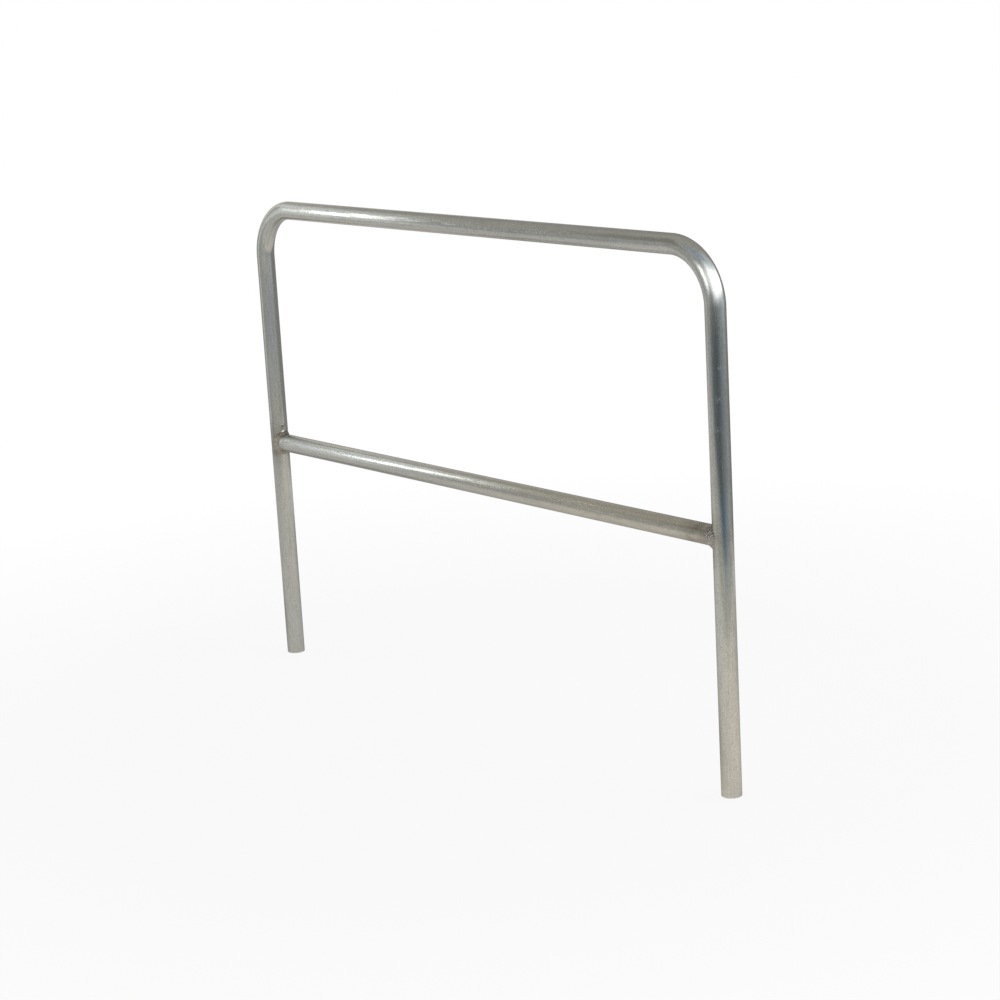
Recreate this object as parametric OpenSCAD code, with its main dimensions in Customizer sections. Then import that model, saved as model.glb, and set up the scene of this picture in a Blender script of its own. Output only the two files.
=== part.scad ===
// Welded pipe safety railing: one tube bent into an inverted U, with one straight mid-rail welded
// between its two posts. Millimetres, +Z up, +X along the railing from the left post to the right one.
// The frame's origin is the middle of the left post's foot, in the plane of its cut end.

/* [Railing size] */
// Overall length of the railing, outside of one post to outside of the other
overall_length = 1524; // [900:1:2400]
// Overall height from the cut feet to the top of the top rail
overall_height = 1097; // [800:1:1300]
// Height of the middle of the mid-rail above the feet
mid_rail_height = 521; // [350:1:600]

/* [Tube] */
// Outer diameter of the tube, for the bent hoop and for the mid-rail alike
tube_od = 41.3; // [30:0.1:50]
// Wall thickness of the tube
tube_wall = 3.2; // [2:0.1:5]
// Radius of each bend, to the middle of the tube
bend_radius = 112; // [90:1:180]
// Width of the broken edge round the outside of each cut foot
foot_chamfer = 0.8; // [0.4:0.1:1.5]

/* [Mid-rail ends] */
// How far the thin side tips of each saddle cut are trimmed back from the middle of the post
tip_trim = 9; // [6:0.5:12]

/* [Welds] */
// Reach of the weld bead along each tube at the top and the bottom of the joint
weld_leg = 8.5; // [6:0.5:12]
// Reach of the bead along the mid-rail's sides, measured from the middle of the post
weld_side_reach = 22.5; // [18:0.5:26]
// Height of the bead's crown above a straight line from toe to toe
weld_crown = 1.6; // [0.8:0.1:2.5]
// Spacing of the ripples along the bead
ripple_pitch = 3.4; // [2.5:0.1:6]
// Depth of the ripples in the crown
ripple_depth = 0.45; // [0.1:0.05:0.8]

/* [Hidden] */

tube_r = tube_od / 2;
bore_r = tube_r - tube_wall;
span = overall_length - tube_od;
top_rail_z = overall_height - tube_r;
straight_post = top_rail_z - bend_radius;
// a cutter runs this far past what it cuts
past = 1;

// flats round a full circle wherever a true circle is drawn
round_fn = 96;

// the bead: points from toe to toe, stations for each ripple, and how deep its buried root lies
crown_points = 8;
stations_per_ripple = 4;
root_depth = 2.2;
// the crown's first and last points start this far under the tubes, so the cut leaves a clean toe
toe_bury = 0.35;
// a ripple's arc lags by this share of a pitch from the middle of the bead to its toes
ripple_lag = 0.55;
// length of the joint's line: two tubes of one size meet along two halves of an ellipse
function ellipse_length(a, b) = PI * (a + b) * (1 + pow((a - b) / (a + b), 2) / 4);
joint_length = ellipse_length(sqrt(2) * tube_r, tube_r);
ripples = round(joint_length / ripple_pitch);
stations = ripples * stations_per_ripple;

metal = [0.74, 0.74, 0.72];
bead_metal = [0.62, 0.61, 0.58];

// one straight length of tube standing on its end, bored through
module straight_tube(length) {
    difference() {
        cylinder(r = tube_r, h = length, $fn = round_fn);
        translate([0, 0, -past])
            cylinder(r = bore_r, h = length + 2 * past, $fn = round_fn);
    }
}

// a quarter bend: the tube's ring carried a quarter turn about the bend's middle
module quarter_bend() {
    rotate_extrude(angle = 90, $fn = 2 * round_fn)
        translate([bend_radius, 0])
            difference() {
                circle(r = tube_r, $fn = round_fn);
                circle(r = bore_r, $fn = round_fn);
            }
}

// a post: its foot is cut square, with the sharp outer edge broken
module post() {
    difference() {
        union() {
            cylinder(r1 = tube_r - foot_chamfer, r2 = tube_r, h = foot_chamfer, $fn = round_fn);
            translate([0, 0, foot_chamfer])
                cylinder(r = tube_r, h = straight_post - foot_chamfer, $fn = round_fn);
        }
        translate([0, 0, -past])
            cylinder(r = bore_r, h = straight_post + 2 * past, $fn = round_fn);
    }
}

// the whole hoop, one tube bent twice
module hoop() {
    color(metal) {
        for (x = [0, span])
            translate([x, 0, 0]) post();
        translate([bend_radius, 0, straight_post])
            rotate([90, 0, 0]) rotate([0, 0, 90]) quarter_bend();
        translate([span - bend_radius, 0, straight_post])
            rotate([90, 0, 0]) quarter_bend();
        translate([bend_radius, 0, top_rail_z])
            rotate([0, 90, 0]) straight_tube(span - 2 * bend_radius);
    }
}

// the mid-rail: each end is cut to a saddle by the post itself, and its thin side tips are trimmed off
module mid_rail() {
    color(metal)
        difference() {
            translate([tip_trim, 0, mid_rail_height])
                rotate([0, 90, 0]) straight_tube(span - 2 * tip_trim);
            for (x = [0, span])
                translate([x, 0, mid_rail_height - 2 * tube_r])
                    cylinder(r = tube_r, h = 4 * tube_r, $fn = round_fn);
        }
}

// How the bead is worked out, at the angle a round the mid-rail, 0 at its top:
// both toes ride on the tubes, and the crown is an arch from the one toe to the other.
function post_toe(a, sink) =
    let (turn = 90 * sin(a), r = tube_r - sink)
    [r * cos(turn), r * sin(turn), (tube_r + weld_leg) * cos(a)];

function rail_toe(a, sink) =
    let (side = abs(sin(a)), r = tube_r - sink)
    [(tube_r + weld_leg) * (1 - side) + weld_side_reach * side, r * sin(a), r * cos(a)];

// the way out of the joint: half way between the post's outward way and the mid-rail's
function way_out(a) =
    let (turn = 90 * sin(a), v = [cos(turn), sin(turn) + sin(a), cos(a)])
    v / norm(v);

// one station of the bead: a closed loop of points, first the crown and then the buried root
function bead_station(a, step) =
    let (
        p = post_toe(a, toe_bury),
        q = rail_toe(a, toe_bury),
        out = way_out(a),
        crown = [
            for (i = [0 : crown_points - 1])
                let (
                    u = i / (crown_points - 1),
                    arch = 4 * u * (1 - u),
                    wave = cos(360 * (step / stations_per_ripple + ripple_lag * arch))
                )
                p + (q - p) * u + out * (weld_crown + ripple_depth * wave) * arch
        ],
        root = [rail_toe(a, root_depth), (post_toe(a, root_depth) + rail_toe(a, root_depth)) / 2
            - out * root_depth, post_toe(a, root_depth)]
    )
    concat(crown, root);

// a ring of stations joined into one closed skin
module bead_skin() {
    loops = [for (k = [0 : stations - 1]) bead_station(360 * k / stations, k)];
    m = len(loops[0]);
    points = [for (loop = loops) each loop];
    faces = [
        for (k = [0 : stations - 1], i = [0 : m - 1])
            let (
                here = k * m,
                next = ((k + 1) % stations) * m,
                j = (i + 1) % m
            )
            each [[here + i, next + i, next + j], [here + i, next + j, here + j]]
    ];
    polyhedron(points = points, faces = faces, convexity = 10);
}

// the bead with both tubes cut out of it, so it sits on them without a gap
module weld_bead() {
    difference() {
        bead_skin();
        translate([0, 0, -2 * tube_r - weld_leg])
            cylinder(r = tube_r, h = 4 * tube_r + 2 * weld_leg, $fn = round_fn);
        translate([tip_trim, 0, 0])
            rotate([0, 90, 0]) cylinder(r = tube_r, h = 2 * tube_od, $fn = round_fn);
    }
}

module left_weld() {
    color(bead_metal)
        translate([0, 0, mid_rail_height]) weld_bead();
}

module right_weld() {
    color(bead_metal)
        translate([span, 0, mid_rail_height]) rotate([0, 0, 180]) weld_bead();
}

hoop();
mid_rail();
left_weld();
right_weld();
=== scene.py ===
# %% [markdown]
# # A welded pipe safety railing
#
# The railing is one tube bent twice into an inverted U, with a straight mid-rail welded between its
# posts. This lesson dresses the plain solids: it makes the tubes again as fine smooth surfaces,
# lays a rippled weld bead round each joint, gives the metal its mill finish, and photographs it in
# a small studio. Everything is in metres, in the same frame as the solids: X runs along the
# railing, Z is up, and the origin is the middle of the left post's foot.

# %% Load the solids
import math

import bpy
import numpy as np
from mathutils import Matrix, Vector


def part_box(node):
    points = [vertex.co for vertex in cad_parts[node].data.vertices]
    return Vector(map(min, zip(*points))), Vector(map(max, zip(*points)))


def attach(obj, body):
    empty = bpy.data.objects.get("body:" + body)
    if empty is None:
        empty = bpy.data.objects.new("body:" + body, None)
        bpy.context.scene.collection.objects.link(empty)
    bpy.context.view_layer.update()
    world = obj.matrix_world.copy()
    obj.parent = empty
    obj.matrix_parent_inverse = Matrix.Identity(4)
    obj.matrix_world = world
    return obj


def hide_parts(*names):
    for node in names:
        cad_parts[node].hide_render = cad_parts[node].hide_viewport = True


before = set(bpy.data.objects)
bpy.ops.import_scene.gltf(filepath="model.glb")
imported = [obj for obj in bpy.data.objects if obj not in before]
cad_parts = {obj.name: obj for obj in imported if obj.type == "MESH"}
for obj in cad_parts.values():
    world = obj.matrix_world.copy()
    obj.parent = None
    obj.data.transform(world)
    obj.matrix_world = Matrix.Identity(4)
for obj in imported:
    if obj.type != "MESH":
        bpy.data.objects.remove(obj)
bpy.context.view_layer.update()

# %% [markdown]
# ## The sizes
#
# The sizes are read from the solids, so the lesson still fits if they are changed. The hoop's box
# gives the spacing of the posts and the height. The mid-rail's box gives the tube, and how far the
# thin tips of its saddles were trimmed. Two sizes don't show in any box: the wall and the bend's
# radius.

# %% Read the driving sizes
hoop_low, hoop_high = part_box("hoop")
rail_low, rail_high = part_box("mid_rail")

TUBE_R = (rail_high.z - rail_low.z) / 2
RAIL_Z = (rail_high.z + rail_low.z) / 2
SPAN = hoop_high.x - TUBE_R
TOP_Z = hoop_high.z - TUBE_R
WALL = 0.0032
BORE_R = TUBE_R - WALL
BEND_R = 0.112
TIP_TRIM = rail_low.x
print(f"tube {TUBE_R * 2000:.1f} mm, posts {SPAN * 1000:.1f} mm apart,"
      f" top rail at {TOP_Z * 1000:.1f} mm, mid-rail at {RAIL_Z * 1000:.1f} mm")

# %% [markdown]
# ## A surface from a grid
#
# Every new piece is a grid of points, worked out as one array, whose rows close round the piece. A
# helper turns such a grid into a mesh. Where the rows close on each other too, the skin has no
# border at all, as a tube with a wall has none: the outside turns in at one end, runs back as the
# bore, and comes out at the other.

# %% Make a mesh from grids of points
# edges sharper than this, in degrees, stay crisp: on the tubes, and on the beads
TUBE_CREASE, BEAD_CREASE = 35, 60


def grid_faces(rows, columns):
    """The quads of a grid that closes both ways: (i, j), (i, j+1), (i+1, j+1), (i+1, j)."""
    index = np.arange(rows * columns).reshape(rows, columns)
    below = np.roll(index, -1, axis=0)
    return np.stack([index, np.roll(index, -1, 1), np.roll(below, -1, 1), below], -1).reshape(-1, 4)


def put(name, data):
    """A new object at the origin, which shows a mesh, a lamp or a camera."""
    thing = bpy.data.objects.new(name, data)
    bpy.context.collection.objects.link(thing)
    return thing


def skin_mesh(name, shells, crease):
    """Joins closed shells, each a list of points and its faces, in one mesh and its own object."""
    points = np.concatenate([shell_points for shell_points, _ in shells])
    faces, first = [], 0
    for shell_points, face_sets in shells:
        for face_set in face_sets:
            faces += (face_set + first).tolist()
        first += len(shell_points)
    mesh = bpy.data.meshes.new(name)
    mesh.from_pydata(points, [], faces)
    mesh.shade_smooth()
    mesh.set_sharp_from_angle(angle=math.radians(crease))
    print(f"{name}: {len(mesh.polygons)} faces")
    return put(name, mesh)


def tube_mesh(name, points):
    """One rows x columns x 3 grid that closes both ways, as a mesh whose faces look outwards."""
    rows, columns = points.shape[:2]
    return skin_mesh(name, [(points.reshape(-1, 3), [grid_faces(rows, columns)])], TUBE_CREASE)


def unit(v):
    """Each vector divided by its own length."""
    return v / np.linalg.norm(v, axis=-1, keepdims=True)


def keep(piece, name, values):
    """Keeps one number or one vector for each point of the piece, for a material to read."""
    vectors = values.size == 3 * len(piece.data.vertices)
    kind, field = ("FLOAT_VECTOR", "vector") if vectors else ("FLOAT", "value")
    layer = piece.data.attributes.new(name, kind, "POINT")
    layer.data.foreach_set(field, values.reshape(-1).astype(np.float32))


# %% [markdown]
# ## The bent hoop
#
# A bender takes a straight tube and wraps it round a die twice. The outside is a circle carried
# along a line that runs up, round, across, round and down. A curve object with a bevel could draw
# it, but then the drawing lines of the metal would have nothing to follow. So the circle is swept
# here, and each point also keeps its place in the straight tube before it was bent: the drawing
# lines then run round the bends with the metal, as they do on the real one.

# %% The line that the tube follows
def hoop_line(post_steps=36, bend_steps=56, top_steps=48):
    """Points, inward directions and lengths along the middle of the bent tube.

    The line goes up the left post, turns a quarter about the bend's middle, crosses, and comes
    down. At each bend the point is the middle of the bend less R times the inward direction.
    """
    bend_z = TOP_Z - BEND_R
    up = np.linspace(0, bend_z, post_steps)
    turn = np.linspace(0, math.pi / 2, bend_steps)[1:]
    across = np.linspace(BEND_R, SPAN - BEND_R, top_steps)[1:]
    x = np.concatenate([up * 0, BEND_R * (1 - np.cos(turn)), across,
                        SPAN - BEND_R + BEND_R * np.sin(turn), up[1:] * 0 + SPAN])
    z = np.concatenate([up, bend_z + BEND_R * np.sin(turn), across * 0 + TOP_Z,
                        bend_z + BEND_R * np.cos(turn), up[::-1][1:]])
    angle = np.concatenate([up * 0, turn, across * 0 + math.pi / 2, turn + math.pi / 2,
                            up[1:] * 0 + math.pi])
    length = np.concatenate([up, bend_z + BEND_R * turn,
                             bend_z + BEND_R * math.pi / 2 + across - BEND_R])
    second_bend = length[-1] + BEND_R * turn
    length = np.concatenate([length, second_bend, second_bend[-1] + up[1:]])
    points = np.stack([x, 0 * x, z], axis=-1)
    inward = np.stack([np.cos(angle), 0 * x, -np.sin(angle)], axis=-1)
    return points, inward, length


line, inward, length = hoop_line()
print(f"the hoop takes {length[-1]:.3f} m of tube")

# %% [markdown]
# ### The cut ends
#
# A saw leaves the foot flat, and a file breaks its two sharp edges. Going round the wall's section
# from the outside to the bore, the radius and the distance from the cut follow a quarter circle, a
# flat and a smaller quarter circle. The same short profile closes both feet.

# %% The profile of a cut end
OUTER_BREAK = 0.0008
INNER_BREAK = 0.0004


def cut_end(steps=5):
    """Radius and height along the wall's section at a foot, from the outside round to the bore.

    Each broken edge is a quarter circle: radius plus b sin t, height b less b cos t.
    """
    t = np.linspace(math.pi / 2, 0, steps)
    outer_r = TUBE_R - OUTER_BREAK + OUTER_BREAK * np.sin(t)
    outer_h = OUTER_BREAK * (1 - np.cos(t))
    inner_r = BORE_R + INNER_BREAK - INNER_BREAK * np.sin(t[::-1])
    inner_h = INNER_BREAK * (1 - np.cos(t[::-1]))
    middle = (TUBE_R + BORE_R) / 2
    radius = np.concatenate([outer_r, [outer_r[-1] - INNER_BREAK, middle], inner_r])
    height = np.concatenate([outer_h, [0, 0], inner_h])
    return radius, height


# %% Rings along the line
# how soon a bend is fully pressed, and how far round its inner side that reaches
BEND_PRESS = 2.2
SIDE_PRESS, SIDE_START = 1.6, 0.3


def full_turn(steps):
    """Angles spread evenly over a whole turn."""
    return np.linspace(0, 2 * math.pi, steps, endpoint=False)


# the angles v round each ring of a tube
RING = full_turn(112)


def ring_round(centre, side, radius):
    """Circles of the given radii: centre plus radius times (cos v side + sin v Y)."""
    across = np.array([0.0, 1.0, 0.0])
    spoke = np.cos(RING)[None, :, None] * side[:, None, :] + np.sin(RING)[None, :, None] * across
    return centre[:, None, :] + radius[:, None, None] * spoke


def straight_place(radius, distance):
    """Where each point of a ring was in the straight tube: across, across and along."""
    flat = np.stack([np.cos(RING), np.sin(RING), 0 * RING], axis=-1)
    return radius[:, None, None] * flat + distance[:, None, None] * np.array([0.0, 0.0, 1.0])


def pressed_side(side):
    """One on the inside of each bend, where the metal was pressed together, and nought elsewhere.

    At the bend's angle b it is 2.2 |sin b cos b| times (1.6 cos v - 0.3), each within 0 to 1.
    """
    bent = np.clip(BEND_PRESS * np.abs(side[:, 0] * side[:, 2]), 0, 1)[:, None]
    return bent * np.clip(SIDE_PRESS * np.cos(RING[None, :]) - SIDE_START, 0, 1)


def way_round(points):
    """The direction round the tube at each point: from the point before it to the point after."""
    return unit(np.roll(points, -1, axis=1) - np.roll(points, 1, axis=1))


# %% Sweep the hoop
def make_hoop():
    """The hoop's skin as a closed loop of rings: a foot, the outside, the other foot, the bore."""
    end_r, end_h = cut_end()
    rise = np.array([0.0, 0.0, 1.0]) * end_h[:, None]
    along, turned, so_far = line[1:-1], inward[1:-1], length[1:-1]
    centre = np.concatenate([rise[::-1], along, rise + [SPAN, 0, 0], along[::-1]])
    side = np.concatenate([np.tile(inward[0], (len(end_r), 1)), turned,
                           np.tile(inward[-1], (len(end_r), 1)), turned[::-1]])
    radius = np.concatenate([end_r[::-1], 0 * so_far + TUBE_R, end_r, 0 * so_far + BORE_R])
    distance = np.concatenate([end_h[::-1], so_far, length[-1] - end_h, so_far[::-1]])
    points = ring_round(centre, side, radius)
    # rounding would leave the right foot a hair under the floor
    points[..., 2] = np.maximum(points[..., 2], 0)
    hoop = tube_mesh("bent_hoop", points)
    keep(hoop, "straight", straight_place(radius, distance))
    keep(hoop, "round", way_round(points))
    keep(hoop, "pressed", pressed_side(side))
    return hoop


bent_hoop = make_hoop()
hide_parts("hoop")
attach(bent_hoop, "root")

# %% [markdown]
# ## The mid-rail
#
# The mid-rail is cut to length with a saddle at each end, so it sits round the post. Two tubes of
# one size meet where the post's circle x = sqrt(R squared - y squared) crosses the rail's own
# circle, so each point of an end ring is simply slid along the rail until it touches the post. The
# saddle's two side tips would be knife edges, and the fitter grinds them back.

# %% Cut the saddles and sweep the rail
# the rail is a second tube: its pattern is read from this far along, past the end of the hoop's
RAIL_MARK = 9.0


def saddle(radius):
    """How far along the rail a ring's points have to start to clear the post, round the ring."""
    to_post = np.sqrt(np.maximum(TUBE_R ** 2 - (radius * np.sin(RING)) ** 2, 0))
    return np.maximum(to_post, TIP_TRIM)


def make_rail(steps=40):
    """The rail's skin: the outside from saddle to saddle, then the bore back again."""
    share = np.linspace(0, 1, steps)[:, None]
    grids = []
    for radius, order in ((TUBE_R, 1), (BORE_R, -1)):
        start = saddle(radius)[None, :]
        x = (start + (SPAN - 2 * start) * share)[::order]
        y = np.broadcast_to(radius * np.sin(RING), x.shape)
        z = np.broadcast_to(RAIL_Z - radius * np.cos(RING), x.shape)
        grids.append(np.stack([x, y, z], axis=-1))
    points = np.concatenate(grids)
    rail = tube_mesh("middle_rail", points)
    keep(rail, "straight", points[..., [1, 2, 0]] - [0, RAIL_Z, -RAIL_MARK])
    keep(rail, "on_rail", np.ones(points.shape[:2]))
    turned = points[..., [0, 2, 1]] - [0, RAIL_Z, 0]
    keep(rail, "round", unit(turned * [0, -1, 1]))
    return rail


middle_rail = make_rail()
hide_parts("mid_rail")
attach(middle_rail, "root")

# %% [markdown]
# ## The weld beads
#
# A welder goes round each joint adding a drop of filler at a time, and each drop freezes as a small
# crescent that lies on the one before. A torus would not follow the joint, which rises and falls
# as the two round tubes meet. So both edges of the bead ride on the tubes themselves, and the crown
# is carried from edge to edge, with the crescents added along it. On the right joint the welder
# stopped at the front, where the last pool left rings like those round a stone in water.

# %% The two edges of a bead
def post_edge(a, leg, radius):
    """The edge on the post: (r cos t, r sin t, (R + leg) cos a), t = sin a times a quarter turn."""
    turn = math.pi / 2 * np.sin(a)
    up = (TUBE_R + leg) * np.cos(a)
    return np.stack([radius * np.cos(turn), radius * np.sin(turn), up], -1)


def rail_edge(a, leg, side_reach, radius):
    """The edge on the rail: its reach from the post's middle goes from leg to side reach."""
    side = np.abs(np.sin(a))
    x = (TUBE_R + leg) * (1 - side) + side_reach * side
    return np.stack([x, radius * np.sin(a), radius * np.cos(a)], -1)


# %% A hand that isn't quite steady
# the bead's edges lie this far inside the tubes, and its hidden root lies deeper
EDGE_SINK = 0.00025
ROOT_DEPTH = 0.002
LEG_SWAY = 0.0003
SWAY_WAVES = np.arange(2, 15)
# how quickly the reach along the rail changes from its far side to its near side
CHANGE_OVER = 3


def hand_sway(rng, a):
    """Three wanderings round the joint: waves of 2 to 14 turns added up, the quicker the weaker."""
    count = len(SWAY_WAVES)
    strength = rng.normal(size=(3, count)) / SWAY_WAVES ** 0.5
    shift = rng.uniform(0, 6.3, (count, 1))
    return strength @ np.sin(SWAY_WAVES[:, None] * a + shift)


def bead_edges(joint, a, sway):
    """The edges on the post and on the rail, as they are laid, and the same two at the root."""
    upper, under = joint["legs"]
    leg = under + (upper - under) * (1 + np.cos(a)) / 2 + LEG_SWAY * sway[0]
    near = np.clip(-joint["facing"] * CHANGE_OVER * np.sin(a) + 0.5, 0, 1)
    reach = joint["far_side"] + (joint["near_side"] - joint["far_side"]) * near
    reach = reach + joint["wander"] * sway[1]
    return [(post_edge(a, leg, TUBE_R - depth), rail_edge(a, leg, reach, TUBE_R - depth))
            for depth in (EDGE_SINK, ROOT_DEPTH)]


# %% The ground under the crown
FALL = 1.6
POST_LEAN = 0.25


def wrapped(angle):
    """The same angle, between minus and plus half a turn."""
    return (angle + math.pi) % (2 * math.pi) - math.pi


def bead_ground(post, rail, a, u):
    """The surface from the post's edge, u = 0, to the rail's, u = 1, and its angle round the rail.

    A point turns round the rail at an even rate, while its height over the rail falls with
    (1 - u)^1.6.
    """
    lean = wrapped(np.arctan2(post[:, 1], post[:, 2]) - a)
    turned = a[:, None] + lean[:, None] * (1 - u)
    high = np.hypot(post[:, 1], post[:, 2])[:, None] - (TUBE_R - EDGE_SINK)
    height = TUBE_R - EDGE_SINK + high * (1 - u) ** FALL
    x = post[:, :1] + (rail[:, :1] - post[:, :1]) * u
    return np.stack([x, height * np.sin(turned), height * np.cos(turned)], -1), turned


def way_out(a, u):
    """The way the crown rises: off the post, leaning to the rail's way, and in the end off that."""
    turn = math.pi / 2 * np.sin(a)
    off_post = np.stack([np.cos(turn), np.sin(turn), 0 * a], -1)[:, None]
    off_rail = np.stack([0 * a, np.sin(a), np.cos(a)], -1)[:, None]
    return unit(off_post * (1 - u[..., None]) + off_rail * (POST_LEAN + u[..., None]))


# %% Crescents, rings and lumps
RIPPLE = 0.0034
# the line of a joint is so many times as long as the way round the tube
JOINT_STRETCH = 1.21
# a crescent's arc lags by this share of a drop at the crown, and wanders by this share
DROP_LAG = 0.55
DROP_SWAY = 0.12
# the last pool's rings are pushed this far by lumps of these lengths, and fade over this width
POOL_PUSH = 0.0005
POOL_LUMPS = (0.008, 0.020)
POOL_FADE = 0.005


def crescent(phase):
    """One less the square of the place between two joins: round on top, sharp where drops meet."""
    return 1 - (2 * (phase % 1) - 1) ** 2


def lumps(rng, x, y, shortest, longest, count=20):
    """Waves of random directions and lengths added up, which swing about one either way."""
    wave = rng.uniform(shortest, longest, count)
    angle, shift = rng.uniform(0, 2 * math.pi, (2, count))
    swing = x[..., None] * np.cos(angle) + y[..., None] * np.sin(angle)
    return np.sin(2 * math.pi * swing / wave + shift).sum(-1) / math.sqrt(count / 2)


def drop_heights(rng, joint, a, x, over, arch, sway):
    """One on each crest and nought in each groove: crescents all round, rings in the last pool."""
    drops = round(2 * math.pi * JOINT_STRETCH * TUBE_R / RIPPLE)
    turn = drops * a[:, None] / (2 * math.pi)
    drop = crescent(turn + DROP_LAG * arch + DROP_SWAY * sway[:, None])
    pool_x, _, pool_reach, pool_pitch = joint["pool"]
    away = np.hypot(x - pool_x, over) + POOL_PUSH * lumps(rng, x, over, *POOL_LUMPS)
    in_pool = np.clip((pool_reach - away) / POOL_FADE, 0, 1)
    return drop + (crescent(away / pool_pitch) - drop) * in_pool


# %% Lay a bead
ARCH_POWER = 0.8
ROUGH_LUMPS = (0.0022, 0.006)
# the root's middle lies this many root depths under the ground
ROOT_MIDDLE = 1.3
# the heights that the metal reads fade at the bead's edges, and drop under a painted shade
CREST_POWER = 0.3
PAINTED_SHADE_SHARE = 0.5


def bead_grid(joint, around=760, across=56):
    """A closed skin: the rippled crown from the post's edge to the rail's, then back in the metal.

    On the ground stands the crown's height, with its drops and lumps, times (4 u (1 - u))^0.8.
    """
    rng = np.random.default_rng(joint["seeds"][0])
    a = full_turn(around)
    u = np.linspace(0, 1, across)[None, :]
    sway = hand_sway(rng, a)
    (post, rail), (root_post, root_rail) = bead_edges(joint, a, sway)
    ground, turned = bead_ground(post, rail, a, u)
    out = way_out(a, u)
    arch = (4 * u * (1 - u)) ** ARCH_POWER
    x = ground[..., 0]
    over = TUBE_R * wrapped(turned - math.radians(joint["pool"][1]))
    drop = drop_heights(rng, joint, a, x, over, arch, sway[2])
    side = np.abs(np.sin(a))[:, None]
    crown = joint["crown"] * (1 - side) + joint["side_crown"] * side
    rough = joint["roughness"] * lumps(rng, x, over, *ROUGH_LUMPS)
    crown = (crown + joint["depth"] * (drop - 0.5) + rough) * arch
    middle = across // 2
    root_middle = ground[:, middle] - out[:, middle] * ROOT_MIDDLE * ROOT_DEPTH
    root = np.stack([root_rail, root_middle, root_post], axis=1)
    points = np.concatenate([ground + out * crown[..., None], root], axis=1)
    # painted shade over the bead, darkest at one angle round the rail; the metal gives it the
    # soot's colour
    top, spread = np.radians(joint["soot_and_shade"])
    soot_and_shade = PAINTED_SHADE_SHARE * np.exp(-(wrapped(turned - top) / spread) ** 2)
    crest = np.concatenate([drop * arch ** CREST_POWER - soot_and_shade, np.zeros((around, 3))], axis=1)
    return points.reshape(-1, 3), [grid_faces(around, across + 3)], crest.reshape(-1)


# %% [markdown]
# ### Dabs and spatter
#
# Above the left joint sits the dab where the arc was broken off: a low mound with a crater in it,
# and a second one without. Round both joints lie beads of spatter, a millimetre across. Each is a
# lump: rings of points stacked from one pole to the other, so it is closed at both ends.

# %% A closed lump from stacked rings
def ring_faces(rings, around):
    """The quads between neighbouring rings, which are stored one after another."""
    index = np.arange(rings * around).reshape(rings, around)
    beside = np.roll(index, -1, axis=1)
    return np.stack([index[:-1], beside[:-1], beside[1:], index[1:]], -1).reshape(-1, 4)


def lump_faces(rings, around, many=1):
    """Quads between rings and a fan at each pole: a lump's rings, then its first and last pole."""
    size = rings * around + 2
    ring = np.arange(around)
    beside = np.roll(ring, -1)
    to_last = (rings - 1) * around
    first = np.stack([0 * ring + size - 2, beside, ring], -1)
    last = np.stack([0 * ring + size - 1, ring + to_last, beside + to_last], -1)
    start = size * np.arange(many)[:, None, None]
    fans = np.concatenate([first, last]) + start
    return [(ring_faces(rings, around) + start).reshape(-1, 4), fans.reshape(-1, 3)]


# %% A dab of filler
MOUND_POWER = 0.7
# the radii of the innermost ring, of the crater and of its darker middle, as shares of the
# dab's size
DAB_INNERMOST, CRATER, CRATER_MIDDLE = 0.06, 0.48, 0.44
# waves round the outline, and how far each pushes it
DAB_WOBBLE = ((2, 0.10), (3, 0.06))
DAB_ROUGHNESS, DAB_LUMPS = 0.00012, (0.002, 0.005)
# how far the rim and the hidden back lie inside the post
DAB_SINK, DAB_BACK = 0.0002, 0.0015
# the height that the metal reads: at the rim, how much more on top for a painted highlight, and
# how much less in the crater's middle
DAB_PALE, DAB_TOP_HIGHLIGHT, CRATER_DARK = 0.4, 1.2, 2.0


def make_dab(rng, angle, height, size, mound, dip, rings=14, around=44):
    """A mound on the post: mound (1 - r^2)^0.7, less a crater of depth dip exp(-(r / 0.48)^2)."""
    r = np.linspace(DAB_INNERMOST, 1, rings)[:, None]
    t = full_turn(around)[None, :]
    wobble = 1
    for waves, push in DAB_WOBBLE:
        wobble = wobble + push * np.sin(waves * t + rng.uniform(0, 6))
    sideways, up = size * r * wobble * np.cos(t), size * r * wobble * np.sin(t)
    rise = mound * (1 - r ** 2) ** MOUND_POWER - dip * np.exp(-(r / CRATER) ** 2)
    rise = rise + DAB_ROUGHNESS * lumps(rng, sideways, up, *DAB_LUMPS) * (1 - r)
    turned = math.radians(angle) + sideways / TUBE_R
    shells = [np.stack([radius * np.cos(turned), radius * np.sin(turned), height + up], -1)
              for radius in (TUBE_R - DAB_SINK + rise, TUBE_R - DAB_BACK + 0 * rise)]
    stack = np.concatenate([shells[0], shells[1][::-1]])[:, ::-1]
    points = np.concatenate([stack.reshape(-1, 3), stack[0].mean(0)[None], stack[-1].mean(0)[None]])
    # a painted highlight: the dab reads lighter the higher it rises, and darker in the crater's
    # middle
    dab_tone_and_highlight = DAB_PALE + DAB_TOP_HIGHLIGHT * np.clip(rise / mound, 0, 1)
    dab_tone_and_highlight = dab_tone_and_highlight - CRATER_DARK * (dip > 0) * np.exp(-(r / CRATER_MIDDLE) ** 2)
    crest = np.concatenate([dab_tone_and_highlight + 0 * t, 0 * dab_tone_and_highlight + 0 * t]).reshape(-1)
    return points, lump_faces(2 * rings, around), np.append(crest, [crest[0], 0])


# %% Spatter
SPATTER_SPREAD, SPATTER_TURN = 0.010, 1.3
SPATTER_SIZES = (0.0004, 0.0010)
# the rings of a drop stand at these tilts over its middle, pressed this flat
SPATTER_TILTS, SPATTER_SIDES, SPATTER_FLAT = (-35, 10, 50), 8, 0.6
SPATTER_CREST = 0.9


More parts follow.
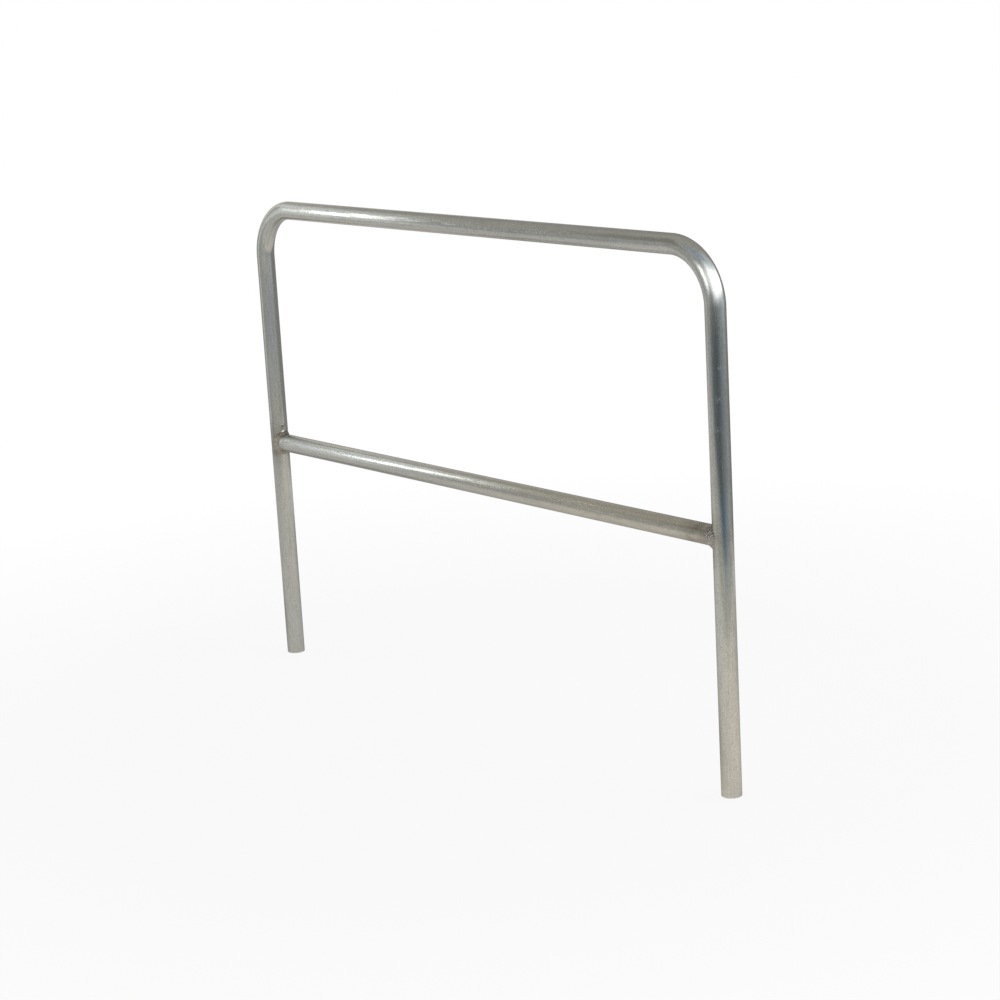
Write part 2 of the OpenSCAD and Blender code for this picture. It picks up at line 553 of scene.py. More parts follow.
def make_spatter(rng, joint):
    """Drops: middle + size (cos e (cos t along + sin t across) + 0.6 sin e off the tube).

    Some lie along the rail, and the rest above and below it on the post.
    """
    many = joint["spatter"]
    on_rail = rng.random(many) < joint["spatter_on_rail"]
    x = joint["near_side"] + rng.exponential(SPATTER_SPREAD, many)
    round_rail = rng.uniform(0, 2 * math.pi, many)
    round_post = rng.uniform(-SPATTER_TURN, SPATTER_TURN, many)
    z = TUBE_R + SPATTER_SPREAD + rng.exponential(SPATTER_SPREAD, many)
    z = z * rng.choice([-1, 1], many)
    rail_normal = np.stack([0 * x, np.sin(round_rail), np.cos(round_rail)], -1)
    post_normal = np.stack([np.cos(round_post), np.sin(round_post), 0 * x], -1)
    normal = np.where(on_rail[:, None], rail_normal, post_normal)
    along = np.where(on_rail[:, None], [1.0, 0.0, 0.0], [0.0, 0.0, 1.0])
    middle = TUBE_R * normal + along * np.where(on_rail, x, z)[:, None]
    across = np.cross(normal, along)
    size = rng.uniform(*SPATTER_SIZES, many)[:, None, None, None]
    tilt = np.radians(SPATTER_TILTS)[:, None, None]
    t = full_turn(SPATTER_SIDES)[None, :, None]
    flat = np.cos(t) * along[:, None, None] + np.sin(t) * across[:, None, None]
    rise = SPATTER_FLAT * np.sin(tilt) * normal[:, None, None]
    rings = middle[:, None, None] + size * (np.cos(tilt) * flat + rise)
    poles = SPATTER_FLAT * size[:, 0] * np.array([-1, 1])[None, :, None] * normal[:, None]
    points = np.concatenate([rings.reshape(many, -1, 3), middle[:, None] + poles], axis=1)
    faces = lump_faces(len(SPATTER_TILTS), SPATTER_SIDES, many)
    return points.reshape(-1, 3), faces, np.full(points.shape[0] * points.shape[1], SPATTER_CREST)


# %% Weld the two joints
# each joint's own settings, in metres and degrees:
# post_x, facing: where the post stands, and which way along X the rail leaves it
# seeds: of the random draws for the bead, and for its dabs and spatter
# legs: the bead's reach along both tubes, at the top and at the bottom
# far_side, near_side, wander: its reach along the rail's sides, and how far that edge wanders
# crown, side_crown: its height at the top and the bottom, and at the sides
# depth, roughness: of the drops, and of the lumps on them
# pool: the last pool's place along the rail and round it, its reach, and its rings' pitch
# painted shade and soot: where round the rail they darken the bead, and how wide they spread
# dabs: each one's angle round the post, height over the rail, size, mound and crater
# spatter, spatter_on_rail: how many drops, and the share of them on the rail
JOINTS = {
    "left_bead": {
        "post_x": 0.0, "facing": 1, "seeds": (3, 103), "legs": (0.0078, 0.0075),
        "far_side": 0.0225, "near_side": 0.0270, "wander": 0.0004, "crown": 0.0012,
        "side_crown": 0.0008, "depth": 0.00025, "roughness": 0.00016,
        "pool": (0.010, -110, 0.0, 0.004), "soot_and_shade": (10, 30), "spatter": 36, "spatter_on_rail": 0.3,
        "dabs": [(-11, 0.0392, 0.0068, 0.0019, 0.0020), (-9, 0.0272, 0.0052, 0.0021, 0.0)],
    },
    "right_bead": {
        "post_x": SPAN, "facing": -1, "seeds": (8, 108), "legs": (0.0068, 0.0052),
        "far_side": 0.0225, "near_side": 0.0335, "wander": 0.0008, "crown": 0.0007,
        "side_crown": 0.0009, "depth": 0.00062, "roughness": 0.00018,
        "pool": (0.004, 97, 0.031, 0.0044), "soot_and_shade": (28, 38), "spatter": 80, "spatter_on_rail": 0.8,
        "dabs": [],
    },
}


def weld_joint(name):
    """The bead, the dabs and the spatter of a joint, joined in one mesh and put in their place."""
    joint = JOINTS[name]
    rng = np.random.default_rng(joint["seeds"][1])
    shells = [bead_grid(joint)]
    shells += [make_dab(rng, *dab) for dab in joint["dabs"]]
    shells.append(make_spatter(rng, joint))
    turned, place = [joint["facing"], joint["facing"], 1], [joint["post_x"], 0, RAIL_Z]
    placed = [(points * turned + place, faces) for points, faces, _ in shells]
    bead = skin_mesh(name, placed, BEAD_CREASE)
    keep(bead, "drop", np.concatenate([crest for _, _, crest in shells]))
    return bead


left_bead = weld_joint("left_bead")
right_bead = weld_joint("right_bead")
for bead, node in ((left_bead, "left_weld"), (right_bead, "right_weld")):
    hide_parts(node)
    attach(bead, "root")

# %% [markdown]
# ## The mill finish
#
# Railing tube comes as it left the die: bright but not polished, with fine lines drawn along it,
# a few duller patches, and scuffs from handling. The lines come from noise that is stretched along
# the straight tube, so they stay fine close by. Near each joint the heat left a brown-grey bloom.

# %% Small helpers for node trees
class Tree:
    """The nodes of a material or of the world, with short calls to add and join them."""

    def __init__(self, owner, shader="Principled BSDF"):
        owner.use_nodes = True
        self.owner = owner
        self.nodes = owner.node_tree.nodes
        self.shader = self.nodes[shader]

    def join(self, value, socket):
        """Puts a constant or another node's output into a socket."""
        if isinstance(value, bpy.types.NodeSocket):
            self.owner.node_tree.links.new(value, socket)
        else:
            socket.default_value = value

    def add(self, kind, inputs=(), **settings):
        """A new node with its settings, and a value for each input that is named."""
        node = self.nodes.new(kind)
        for key, value in settings.items():
            setattr(node, key, value)
        for key, value in dict(inputs).items():
            self.join(value, node.inputs[key])
        return node

    def shade(self, inputs):
        """Sets the shader's own sockets, by name."""
        for key, value in inputs.items():
            self.join(value, self.shader.inputs[key])

    def show(self, output):
        """Makes an output the material's surface, in place of the shader."""
        self.join(output, self.nodes["Material Output"].inputs["Surface"])

    def attribute(self, name, kind="Fac"):
        return self.add("ShaderNodeAttribute", attribute_name=name).outputs[kind]

    def place(self):
        return self.add("ShaderNodeTexCoord").outputs["Object"]

    def maths(self, operation, a, b=0.0, clamp=False):
        node = self.add("ShaderNodeMath", {0: a, 1: b}, operation=operation, use_clamp=clamp)
        return node.outputs[0]

    def vectors(self, operation, a, b):
        return self.add("ShaderNodeVectorMath", {0: a, 1: b}, operation=operation).outputs

    def noise(self, vector, scale, detail=3.0, rough=0.5):
        inputs = {"Vector": vector, "Scale": scale, "Detail": detail, "Roughness": rough}
        return self.add("ShaderNodeTexNoise", inputs).outputs["Fac"]

    def remap(self, value, low, high, to_low, to_high):
        inputs = {"Value": value, "From Min": low, "From Max": high, "To Min": to_low,
                  "To Max": to_high}
        return self.add("ShaderNodeMapRange", inputs).outputs[0]

    def mix(self, share, a, b, blend="MIX"):
        node = self.add("ShaderNodeMix", data_type="RGBA", blend_type=blend)
        self.join(share, node.inputs["Factor"])
        self.join(a, node.inputs[6])
        self.join(b, node.inputs[7])
        return node.outputs[2]

    def relief(self, height, depth, strength):
        inputs = {"Height": height, "Distance": depth, "Strength": strength}
        return self.add("ShaderNodeBump", inputs).outputs[0]

    def glow(self, colour):
        return self.add("ShaderNodeEmission", {"Color": colour, "Strength": 1.0}).outputs[0]

    def blend(self, share, a, b):
        return self.add("ShaderNodeMixShader", {0: share, 1: a, 2: b}).outputs[0]


# %% The colours of the tubes
ALUMINIUM = (0.535, 0.528, 0.478, 1)
DULL = (0.46, 0.455, 0.415, 1)
BRIGHT = (0.63, 0.625, 0.585, 1)
STAIN = (0.34, 0.33, 0.29, 1)
HEAT_BLOOM = (0.20, 0.175, 0.135, 1)
WARM = (1.035, 0.985, 0.915, 1)
SCUFF = (0.80, 0.80, 0.79, 1)
# each pattern: how often it changes across and along the tube, its detail and its roughness
PATTERNS = {
    "broad": ((30, 30, 5), 5, 0.6),
    "lines": ((340, 340, 16), 5, 0.65),
    "mottle": ((230, 230, 50), 4, 0.7),
    "grain": ((420, 420, 330), 3, 0.8),
    "scratch": ((300, 300, 9), 3, 0.6),
}
# each layer of colour: its pattern, the values where it starts and is full, its share and colour
LAYERS = [
    ("broad", 0.35, 0.65, 1, ALUMINIUM),
    ("lines", 0.45, 0.70, 0.5, BRIGHT),
    ("mottle", 0.52, 0.72, 0.5, STAIN),
    ("grain", 0.50, 0.62, 0.5, BRIGHT),
    ("grain", 0.50, 0.38, 0.5, STAIN),
]
# the left post is darker: up to here along the tube, clear by here, and by this share
DARKER_LEFT_POST = (0.95, 1.15, 0.15)
# the rail turns warmer between these distances from its left end
WARM_FROM, WARM_FULL = 0.5, 1.1


def tube_colour(t, patterns, along, on_rail):
    """The dull metal with its layers, then the darker left post and the warmer end of the rail."""
    colour = DULL
    for pattern, start, full, share, layer in LAYERS:
        colour = t.mix(t.remap(patterns[pattern], start, full, 0, share), colour, layer)
    colour = t.mix(t.remap(along, *DARKER_LEFT_POST, 0), colour, STAIN)
    warm = t.remap(along, RAIL_MARK + WARM_FROM, RAIL_MARK + WARM_FULL, 0, 1)
    return t.mix(t.maths("MULTIPLY", warm, on_rail), colour, WARM, "MULTIPLY")


# %% Heat and scuffs
# where the heat sat, and its reach: mostly in the left post, and in the rail's right end
HEATED = ((-0.010, -0.014, 0.060), (SPAN - 0.034, -0.004, 0.078))
# pale scuffs on the upper right post: how far round it they lie, in degrees, their height and size
SCUFFS = ((-31, 0.853, 0.007), (-47, 0.792, 0.009), (-52, 0.735, 0.008))


def joint_heat(t, place):
    """Full within four tenths of each heated spot's reach, nought past it, in blotches."""
    heat = None
    for x, y, reach in HEATED:
        gap = t.vectors("DISTANCE", place, (x, y, RAIL_Z))["Value"]
        spot = t.remap(gap, 0.4 * reach, reach, 1, 0)
        heat = spot if heat is None else t.maths("MAXIMUM", heat, spot)
    blotch = t.remap(t.noise(place, 60.0, 3), 0.3, 0.7, 0.20, 0.72)
    return t.maths("MULTIPLY", heat, blotch, clamp=True)


def scuff_marks(t, place):
    """Ragged flecks within reach of each scuff's middle, which lies on the post's outside."""
    marks = 0.0
    for angle, height, size in SCUFFS:
        x = SPAN + TUBE_R * math.cos(math.radians(angle))
        y = TUBE_R * math.sin(math.radians(angle))
        gap = t.vectors("DISTANCE", place, (x, y, height))["Value"]
        marks = t.maths("MAXIMUM", marks, t.remap(gap, 0, size, 1, 0))
    ragged = t.noise(t.vectors("MULTIPLY", place, (500, 500, 180))[0], 1.0, 3, 0.6)
    return t.maths("MULTIPLY", marks, t.remap(ragged, 0.45, 0.60, 0, 1.2), clamp=True)


# %% The drawn aluminium
SMOOTH, ROUGH = 0.13, 0.22
# how much rougher the metal is where it was pressed, brushed, scratched and scuffed
PRESSED_MORE, BRUSHED_MORE, SCRATCHED_MORE, SCUFFED_MORE = 0.12, 0.16, 0.22, 0.35
# the rail's left end was brushed: up to this far along it, fading by this far
BRUSHED_TO, BRUSHED_END = 0.08, 0.26
TUBE_RELIEF = 0.00004


def drawn_metal(name):
    """Satin metal whose gloss spreads across the drawing lines."""
    t = Tree(bpy.data.materials.new(name))
    straight = t.attribute("straight", "Vector")
    on_rail, pressed = t.attribute("on_rail"), t.attribute("pressed")
    along = t.add("ShaderNodeSeparateXYZ", {0: straight}).outputs[2]
    place = t.place()
    patterns = {pattern: t.noise(t.vectors("MULTIPLY", straight, often)[0], 1.0, detail, rough)
                for pattern, (often, detail, rough) in PATTERNS.items()}
    scuffed = scuff_marks(t, place)
    colour = tube_colour(t, patterns, along, on_rail)
    colour = t.mix(joint_heat(t, place), colour, HEAT_BLOOM)
    broad, mottle = patterns["broad"], patterns["mottle"]
    rough = t.remap(t.maths("ADD", broad, mottle), 0.7, 1.3, SMOOTH, ROUGH)
    brushed = t.remap(along, RAIL_MARK + BRUSHED_TO, RAIL_MARK + BRUSHED_END, BRUSHED_MORE, 0)
    for more in (t.maths("MULTIPLY", pressed, PRESSED_MORE),
                 t.maths("MULTIPLY", brushed, on_rail),
                 t.remap(patterns["scratch"], 0.56, 0.68, 0, SCRATCHED_MORE),
                 t.maths("MULTIPLY", scuffed, SCUFFED_MORE)):
        rough = t.maths("ADD", rough, more)
    relief = t.maths("ADD", mottle, t.maths("MULTIPLY", patterns["lines"], 0.7))
    relief = t.maths("ADD", relief, patterns["grain"])
    relief = t.maths("MULTIPLY", relief, t.maths("ADD", 1.0, pressed))
    t.shade({"Base Color": t.mix(scuffed, colour, SCUFF), "Metallic": 1.0,
             "Specular Tint": (0.6, 0.6, 0.6, 1), "Roughness": rough, "Anisotropic": 0.7,
             "Tangent": t.attribute("round", "Vector"),
             "Normal": t.relief(relief, TUBE_RELIEF, 0.7)})
    print(f"{name}: {len(t.nodes)} nodes")
    return t.owner


tube_metal = drawn_metal("drawn_aluminium")
for piece in (bent_hoop, middle_rail):
    piece.data.materials.append(tube_metal)

# %% [markdown]
# ### The metal of the welds
#
# The two welds were not made alike. The left one is a dry beige-brown with soot in its lines. The
# right one froze cleanly: its crests are silvery, and the black dust lies in the grooves. Both
# metals read the heights that were kept with the drops, so the dirt follows them. The heights also
# carry a painted shade over each bead and a painted highlight on top of the dabs.

# %% Soot, grooves and crests
# the dabs' tops: silvery filler, made near white by a painted highlight
DAB_SILVER_AND_HIGHLIGHT = (0.86, 0.86, 0.84, 1)
BEAD_RELIEF = 0.00025


def bead_metal(name, groove, crest, soot_and_shade, soot_share, rough_groove, rough_crest):
    """Goes from the groove's colour to the crest's with the drop's height, and sooty below."""
    t = Tree(bpy.data.materials.new(name))
    drop = t.attribute("drop")
    place = t.place()
    spots = t.noise(place, 260.0, 4, 0.65)
    dust = t.noise(place, 1500.0, 3, 0.7)
    height = t.maths("ADD", drop, t.remap(dust, 0.3, 0.7, -0.15, 0.15))
    colour = t.mix(t.remap(height, 0.0, 1.1, 0, 1), groove, crest)
    # the soot's colour fills the grooves, and the painted shade where the heights were lowered
    sooty = t.maths("ADD", spots, t.remap(height, -0.5, 0.9, 0.16, -0.06))
    colour = t.mix(t.remap(sooty, 0.54, 0.64, 0, soot_share), colour, soot_and_shade)
    # where the heights pass one, on the dabs' tops, the painted highlight turns the metal near
    # white
    colour = t.mix(t.remap(drop, 1.05, 1.4, 0, 0.8), colour, DAB_SILVER_AND_HIGHLIGHT)
    t.shade({"Base Color": colour, "Metallic": 1.0,
             "Roughness": t.remap(height, 0.1, 0.9, rough_groove, rough_crest),
             "Normal": t.relief(dust, BEAD_RELIEF, 0.6)})
    print(f"{name}: {len(t.nodes)} nodes")
    return t.owner


sooty_weld = bead_metal("sooty_weld", (0.21, 0.182, 0.146, 1), (0.51, 0.47, 0.40, 1),
                        (0.085, 0.075, 0.06, 1), 0.75, 0.5, 0.40)
silver_weld = bead_metal("silver_weld", (0.08, 0.072, 0.062, 1), (0.60, 0.565, 0.50, 1),
                         (0.10, 0.088, 0.07, 1), 0.75, 0.45, 0.26)
left_bead.data.materials.append(sooty_weld)
right_bead.data.materials.append(silver_weld)
node_metals = {"hoop": tube_metal, "mid_rail": tube_metal, "left_weld": sooty_weld,
               "right_weld": silver_weld}
for name, metal in node_metals.items():
    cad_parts[name].data.materials.clear()
    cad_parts[name].data.materials.append(metal)

# %% [markdown]
# ## The camera
#
# The camera stands off the right end, a little above the top rail, and looks back along the
# railing. Its place was worked out from the tube's edges in the photograph.

# %% Place the camera
from mathutils import Matrix, Vector

CAMERA_PLACE = Vector((4.5944, -3.0760, 1.6456))
LOOK_AT = Vector((0.8160, 0.0, 0.4968))
ROLL = math.radians(-3.208)
# in millimetres
LENS = 84.868
SENSOR = 36

camera_data = bpy.data.cameras.new("camera")
camera_data.lens = LENS
camera_data.sensor_width = SENSOR
camera = put("camera", camera_data)
aim = (LOOK_AT - CAMERA_PLACE).to_track_quat("-Z", "Y").to_matrix().to_4x4()
camera.matrix_world = Matrix.Translation(CAMERA_PLACE) @ aim @ Matrix.Rotation(ROLL, 4, "Z")
bpy.context.scene.camera = camera
print(f"the camera looks from {(LOOK_AT - CAMERA_PLACE).length:.2f} m away")

# %% [markdown]
# ## The studio
#
# Metal shows what stands round it. White paper and two lamps give the view and the shadow. A
# painted room, a dark card and grey boards are there only for the rays that the metal mirrors, so
# they can be moved without changing the light.

# %% The paper floor
FLOOR_HALF = 60
FLOOR_DROP = 0.0005
PAPER = (0.88, 0.88, 0.87, 1)
WHITE = (1, 1, 1, 1)
# the paper glows by this share near the railing, and is plain white from the second distance on
PAPER_GLOW, SHADOW_REACH, WHITE_FROM = 0.88, 1.0, 2.4


def white_when_seen(t):
    """One for camera, mirrored and transmitted rays, nought for the rays that carry light."""
    rays = t.add("ShaderNodeLightPath").outputs
    seen = t.maths("MAXIMUM", rays["Is Camera Ray"], rays["Is Glossy Ray"])
    return t.maths("MAXIMUM", seen, rays["Is Transmission Ray"])


def paper():
    """White paper that keeps a faint shadow near the railing and is plain white further off."""
    t = Tree(bpy.data.materials.new("paper"))
    t.shade({"Base Color": PAPER, "Roughness": 0.9})
    away = t.vectors("DISTANCE", t.place(), (SPAN / 2, 0, 0))["Value"]
    share = t.remap(away, SHADOW_REACH, WHITE_FROM, PAPER_GLOW, 1)
    share = t.maths("MULTIPLY", white_when_seen(t), share)
    t.show(t.blend(share, t.shader.outputs[0], t.glow(WHITE)))
    return t.owner


def stage_mesh(name, points, quads, material):
    """A mesh that belongs to the studio and not to the railing."""
    mesh = bpy.data.meshes.new(name)
    mesh.from_pydata(points.reshape(-1, 3), [], quads)
    mesh.shade_smooth()
    mesh.materials.append(material)
    piece = put(name, mesh)
    print(f"{name}: {len(quads)} faces")
    return piece


floor_x, floor_y = FLOOR_HALF * np.array([[-1, 1, 1, -1], [-1, -1, 1, 1]])
stage_mesh("floor", np.stack([floor_x, floor_y, 0 * floor_x - FLOOR_DROP], -1), [(0, 1, 2, 3)],
           paper())

# %% [markdown]
# ## The room that the metal mirrors
#
# The dome stands for the walls, the ceiling and the soft boxes. Only mirrored rays see it, and its
# light is worked out at each of its points: grey walls first, and over them windows of azimuths and
# heights with soft edges. So a box can be moved by changing one row.

# %% Paint the room
ROOM_CENTRE = np.array([-0.4, 1.0, 0.0])
ROOM_R = 3.2
# past this far behind the railing the dome is pressed flat, by this share
BACK_WALL = 1.7
BACK_PRESS = 0.85
WALL_AZIMUTHS = [-180, -160, -130, -112, -95, -80, -65, -30, 0, 30, 60, 100, 140, 180]
WALL_GREYS = [0.72, 0.68, 0.58, 0.48, 0.52, 0.52, 0.54, 0.56, 0.54, 0.40, 0.36, 0.48, 0.56, 0.72]
WALL_TINT = (0.97, 1.0, 1.03)
# the walls turn into the ceiling about this height, over this width
CEILING = (0.526, 0.525, 0.505)
CEILING_Z, CEILING_EDGE = 1.6, 1.0
# each window: the azimuths and the heights that it spans, the widths of its soft edges in azimuth
# and in height, and its colour
WINDOWS = [
    ("dark corner", (-98, -70), (1.60, 2.60), 16, 0.40, (0.32, 0.32, 0.30)),
    ("blue above the boxes", (-56, 34), (1.72, 2.34), 18, 0.20, (0.47, 0.545, 0.635)),
    ("glow above the big box", (-20, 27), (1.85, 2.30), 22, 0.50, (0.87, 0.97, 1.10)),
    ("pale left wall", (-190, -146), (1.00, 2.50), 26, 0.70, (1.24, 1.22, 1.18)),
    ("pale wall behind", (112, 178), (1.10, 2.30), 50, 0.80, (1.06, 1.03, 0.97)),
    ("glow below the big box", (-34, 24), (0.62, 1.24), 20, 0.36, (0.76, 0.86, 0.96)),
    ("foot of the wall", (-90, 0), (-0.5, 0.12), 30, 0.16, (0.52, 0.52, 0.48)),
    ("pale band on the low wall", (-90, 0), (0.14, 0.34), 30, 0.18, (0.65, 0.65, 0.61)),
    ("blue low wall", (-72, -18), (0.29, 0.60), 24, 0.22, (0.475, 0.535, 0.615)),
    ("warm band over the blue", (-84, -24), (0.655, 0.80), 14, 0.04, (0.62, 0.60, 0.555)),
    ("glow between the boxes", (-50, -34), (1.22, 1.56), 8, 0.20, (1.12, 1.17, 1.23)),
    ("big box", (-34, 30), (1.21, 1.89), 16, 0.46, (2.60, 2.70, 2.85)),
    ("glow round the small box", (-75, -48), (0.80, 1.38), 7, 0.30, (0.66, 0.71, 0.76)),
    ("small box", (-64, -47), (1.05, 1.49), 7, 0.24, (2.60, 2.70, 2.80)),
    ("light beside the strip", (-130, -116), (-1.0, 2.30), 3, 0.50, (0.98, 1.02, 1.06)),
    ("top of the strip", (-150, -124), (2.10, 2.60), 10, 0.40, (1.05, 1.10, 1.15)),
    ("tall strip", (-119.4, -117.2), (1.12, 2.02), 1.6, 0.50, (8.2, 8.6, 9.0)),
]
# two of them lean: they rise by so many metres for each degree of azimuth
LEANS = {"big box": 0.005, "small box": 0.009}


def soft_step(value, edge):
    """Rises from nought to one over the width edge, in the smooth curve 3t^2 - 2t^3."""
    t = np.clip(value / edge + 0.5, 0, 1)
    return t * t * (3 - 2 * t)


def room_light(azimuth, height):
    """The light at each point of the room: the walls by azimuth, the ceiling, then each window."""
    light = np.interp(azimuth, WALL_AZIMUTHS, WALL_GREYS)[..., None] * np.array(WALL_TINT)
    above = soft_step(height - CEILING_Z, CEILING_EDGE)[..., None]
    light = light + (np.array(CEILING) - light) * above
    for name, (left, right), (bottom, top), edge_a, edge_z, colour in WINDOWS:
        off = (azimuth - (left + right) / 2 + 180) % 360 - 180
        level = height - LEANS.get(name, 0) * off
        share = soft_step((right - left) / 2 - np.abs(off), edge_a)
        share = share * soft_step(level - bottom, edge_z) * soft_step(top - level, edge_z)
        light = light + (np.array(colour) - light) * share[..., None]
    return light


# %% Build the room
def mirrored_only(piece, material):
    """Only mirrored rays see the piece, and none are sent to it as to a lamp."""
    for ray in ("camera", "diffuse", "shadow", "transmission", "volume_scatter"):
        setattr(piece, f"visible_{ray}", False)
    material.cycles.emission_sampling = "NONE"


def make_room(rings=90, around=240):
    """A dome: centre plus R (cos e cos a, cos e sin a, sin e), pressed flat at the back wall."""
    e = np.linspace(0, math.pi / 2, rings)[:, None]
    a = full_turn(around)[None, :]
    points = np.stack([np.cos(e) * np.cos(a), np.cos(e) * np.sin(a), np.sin(e) + 0 * a], -1)
    light = room_light(np.degrees(a) - 360 * (a > math.pi) + 0 * e, ROOM_R * np.sin(e) + 0 * a)
    points = ROOM_CENTRE + ROOM_R * points
    points[..., 1] -= BACK_PRESS * np.maximum(points[..., 1] - BACK_WALL, 0)
    t = Tree(bpy.data.materials.new("room_walls"))
    t.show(t.glow(t.attribute("light", "Vector")))
    room = stage_mesh("room", points, ring_faces(rings, around), t.owner)
    keep(room, "light", light)
    mirrored_only(room, t.owner)


make_room()

# %% [markdown]
# ### The dark card
#
# A dark card stands bent round the right post, out of the camera's view. It gives the front of the
# post its slate-blue band, and since it is close, the left post hardly sees it. It is darkest at
# one azimuth and clears to both sides, down to a wedge with a bluer tip.

# %% A card that only mirrored rays see
# a card with a reach is clear to rays from so many times as far
REACH_FADE = 1.4


def hang_card(name, points, light, cover, reach=None):
    """A square grid of points with its own light, clear where its cover or its reach runs out."""
    t = Tree(bpy.data.materials.new(name))
    share = t.attribute("cover")
    if reach:
        come = t.add("ShaderNodeLightPath").outputs["Ray Length"]
        share = t.maths("MULTIPLY", share, t.remap(come, reach, REACH_FADE * reach, 1, 0))
    clear = t.add("ShaderNodeBsdfTransparent").outputs[0]
    t.show(t.blend(share, clear, t.glow(t.attribute("light", "Vector"))))
    steps = len(points)
    index = np.arange(steps * steps).reshape(steps, steps)
    quads = np.stack([index[:-1, :-1], index[1:, :-1], index[1:, 1:], index[:-1, 1:]], -1)
    card = stage_mesh(name, points, quads.reshape(-1, 4), t.owner)
    keep(card, "cover", cover)
    keep(card, "light", light)
    mirrored_only(card, t.owner)


# %% Hang the dark card
CARD_DISTANCE = 0.40
CARD_REACH = 0.75
CARD_AZIMUTHS = [-118, -104, -92, -60, -40, -22, -4, 14, 38, 64]
CARD_COVER = [0.0, 0.55, 0.95, 1.0, 1.0, 0.97, 0.92, 0.88, 0.5, 0.0]
CARD_TONE = [0.24, 0.22, 0.20, 0.165, 0.165, 0.22, 0.30, 0.32, 0.33, 0.33]
CARD_TINT = (0.88, 1.02, 1.15)
CARD_TOP, CARD_TOP_EDGE = 0.96, 0.30
# the wedge: the height and azimuth of its tip, how far its edge rises for each degree to either
# side, and how soft that edge is
CARD_TIP, CARD_TIP_AZIMUTH = 0.345, -28
CARD_SLOPES = (0.0038, 0.0020)
CARD_TIP_EDGE = 0.24
# this much is added to the tip's red, green and blue, and fades about this far over it
CARD_TIP_BLUE = (-0.06, 0.03, 0.20)
CARD_BLUE_TO = 0.10
# how far the grid reaches past the tip and the top
CARD_MARGINS = (0.15, 0.16)


def dark_card(steps=60):
    """An upright strip bent round the post: post + d (cos a, sin a), clear towards its edges."""
    a = np.linspace(CARD_AZIMUTHS[0], CARD_AZIMUTHS[-1], steps)[:, None]
    z = np.linspace(CARD_TIP - CARD_MARGINS[0], CARD_TOP + CARD_MARGINS[1], steps)[None, :]
    around = np.radians(a) + 0 * z
    points = np.stack([SPAN + CARD_DISTANCE * np.cos(around), CARD_DISTANCE * np.sin(around),
                       z + 0 * a], -1)
    off = a - CARD_TIP_AZIMUTH
    bottom = CARD_TIP + np.maximum(-off * CARD_SLOPES[0], off * CARD_SLOPES[1])
    cover = np.interp(a, CARD_AZIMUTHS, CARD_COVER)
    cover = cover * soft_step(z - bottom, CARD_TIP_EDGE) * soft_step(CARD_TOP - z, CARD_TOP_EDGE)
    tone = np.interp(a, CARD_AZIMUTHS, CARD_TONE)[..., None] * np.array(CARD_TINT) + 0 * points
    tip = 1 - soft_step(z - CARD_TIP - CARD_BLUE_TO, CARD_TIP_EDGE) + 0 * a
    tone = tone + tip[..., None] * np.array(CARD_TIP_BLUE)
    hang_card("dark_card", points, tone, cover, CARD_REACH)


dark_card()

# %% [markdown]
# ### The grey boards
#
# Grey boards lie on the paper outside the view, so the metal doesn't mirror plain white from below.
# They are one soft sheet here: an even grey, with a few round patches that are darker or lighter.

# %% Lay the grey boards
BOARD_X = (-3.4, 3.2)
BOARD_Y = (-3.0, 1.40)
BOARD_LIFT = 0.002
BOARD_TONE = 0.80
# how soft the edges are, and how far the grid reaches past them: all round, and at the back
BOARD_EDGE, BOARD_BACK_EDGE = 0.6, 0.2
BOARD_MARGIN, BOARD_BACK_MARGIN = 0.4, 0.2
# each patch: its middle, its radius, and how much it changes the grey, or its red, green and blue
PATCHES = [
    ("left", -1.2, -1.2, 1.1, -0.10),
    ("behind the left post", -0.4, 1.2, 0.8, -0.24),
    ("behind the railing", 2.2, 1.4, 0.8, -0.18),
    # the two patches beside the feet are painted shadows of the feet, which only mirrored rays see
    ("beside the left foot", -0.30, -0.05, 0.26, -0.26),
    ("beside the right foot", 1.18, -0.08, 0.26, -0.26),
    ("front", 0.3, -2.7, 1.0, -0.12),
    ("far left", -3.2, 0.0, 0.9, 0.12),
    ("mirrored under the top rail", -1.35, 0.50, 0.75, (0.32, 0.29, 0.24)),
    ("round the right foot", 2.0, 0.0, 0.9, (0.22, 0.16, 0.09)),
]


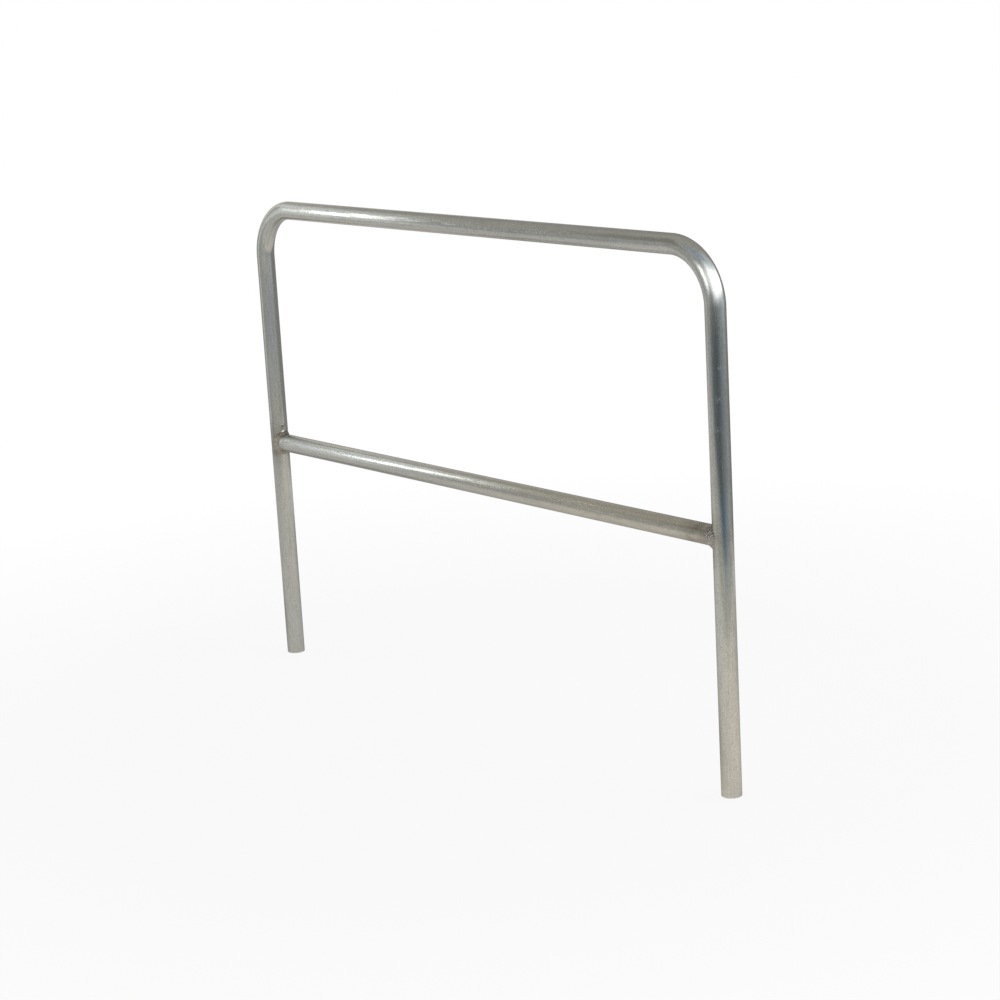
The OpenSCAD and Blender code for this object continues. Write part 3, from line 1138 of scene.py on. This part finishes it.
def grey_boards(steps=70):
    """A flat grid over the paper. A patch adds its change times exp(-(distance / radius)^2)."""
    (left, right), (front, back) = BOARD_X, BOARD_Y
    x = np.linspace(left - BOARD_MARGIN, right + BOARD_MARGIN, steps)[:, None]
    y = np.linspace(front - BOARD_MARGIN, back + BOARD_BACK_MARGIN, steps)[None, :]
    points = np.stack([x + 0 * y, y + 0 * x, 0 * x + 0 * y + BOARD_LIFT], -1)
    cover = (soft_step(x - left, BOARD_EDGE) * soft_step(right - x, BOARD_EDGE)
             * soft_step(y - front, BOARD_EDGE) * soft_step(back - y, BOARD_BACK_EDGE))
    tone = BOARD_TONE + 0 * points
    for _, patch_x, patch_y, radius, change in PATCHES:
        share = np.exp(-((x - patch_x) ** 2 + (y - patch_y) ** 2) / radius ** 2)
        tone += share[..., None] * np.array(change)
    hang_card("grey_boards", points, tone, cover)


grey_boards()

# %% [markdown]
# ## The light
#
# The painted room lights nothing. Two large soft lamps and a white world do that, at a plain level,
# and leave a faint shadow. The metal doesn't mirror the lamps: the room already shows them.

# %% The lamps
def soft_box(name, place, target, width, height, radiance):
    """An area light that looks at its target: its power is radiance x area x pi."""
    data = bpy.data.lights.new(name, "AREA")
    data.shape = "RECTANGLE"
    data.size, data.size_y = width, height
    data.energy = radiance * width * height * math.pi
    lamp = put(name, data)
    lamp.location = place
    lamp.rotation_euler = (Vector(target) - Vector(place)).to_track_quat("-Z", "Y").to_euler()
    lamp.visible_camera = False
    lamp.visible_glossy = False
    print(f"{name}: {data.energy:.1f} W")


soft_box("big_bank", place=(2.6, 1.6, 2.6), target=(0.9, 0, 0.5), width=2.4, height=1.6,
         radiance=1.2)
soft_box("left_box", place=(-2.4, -1.6, 2.4), target=(0.5, 0, 0.5), width=1.2, height=1.6,
         radiance=0.8)

# %% White where it is seen or mirrored, and a weaker light for the rest
WORLD_LIGHT = 0.55

world = bpy.data.worlds.new("white")
bpy.context.scene.world = world
t = Tree(world, "Background")
t.shade({"Color": WHITE, "Strength": t.remap(white_when_seen(t), 0, 1, WORLD_LIGHT, 1.0)})
bpy.context.scene.view_settings.view_transform = "Standard"
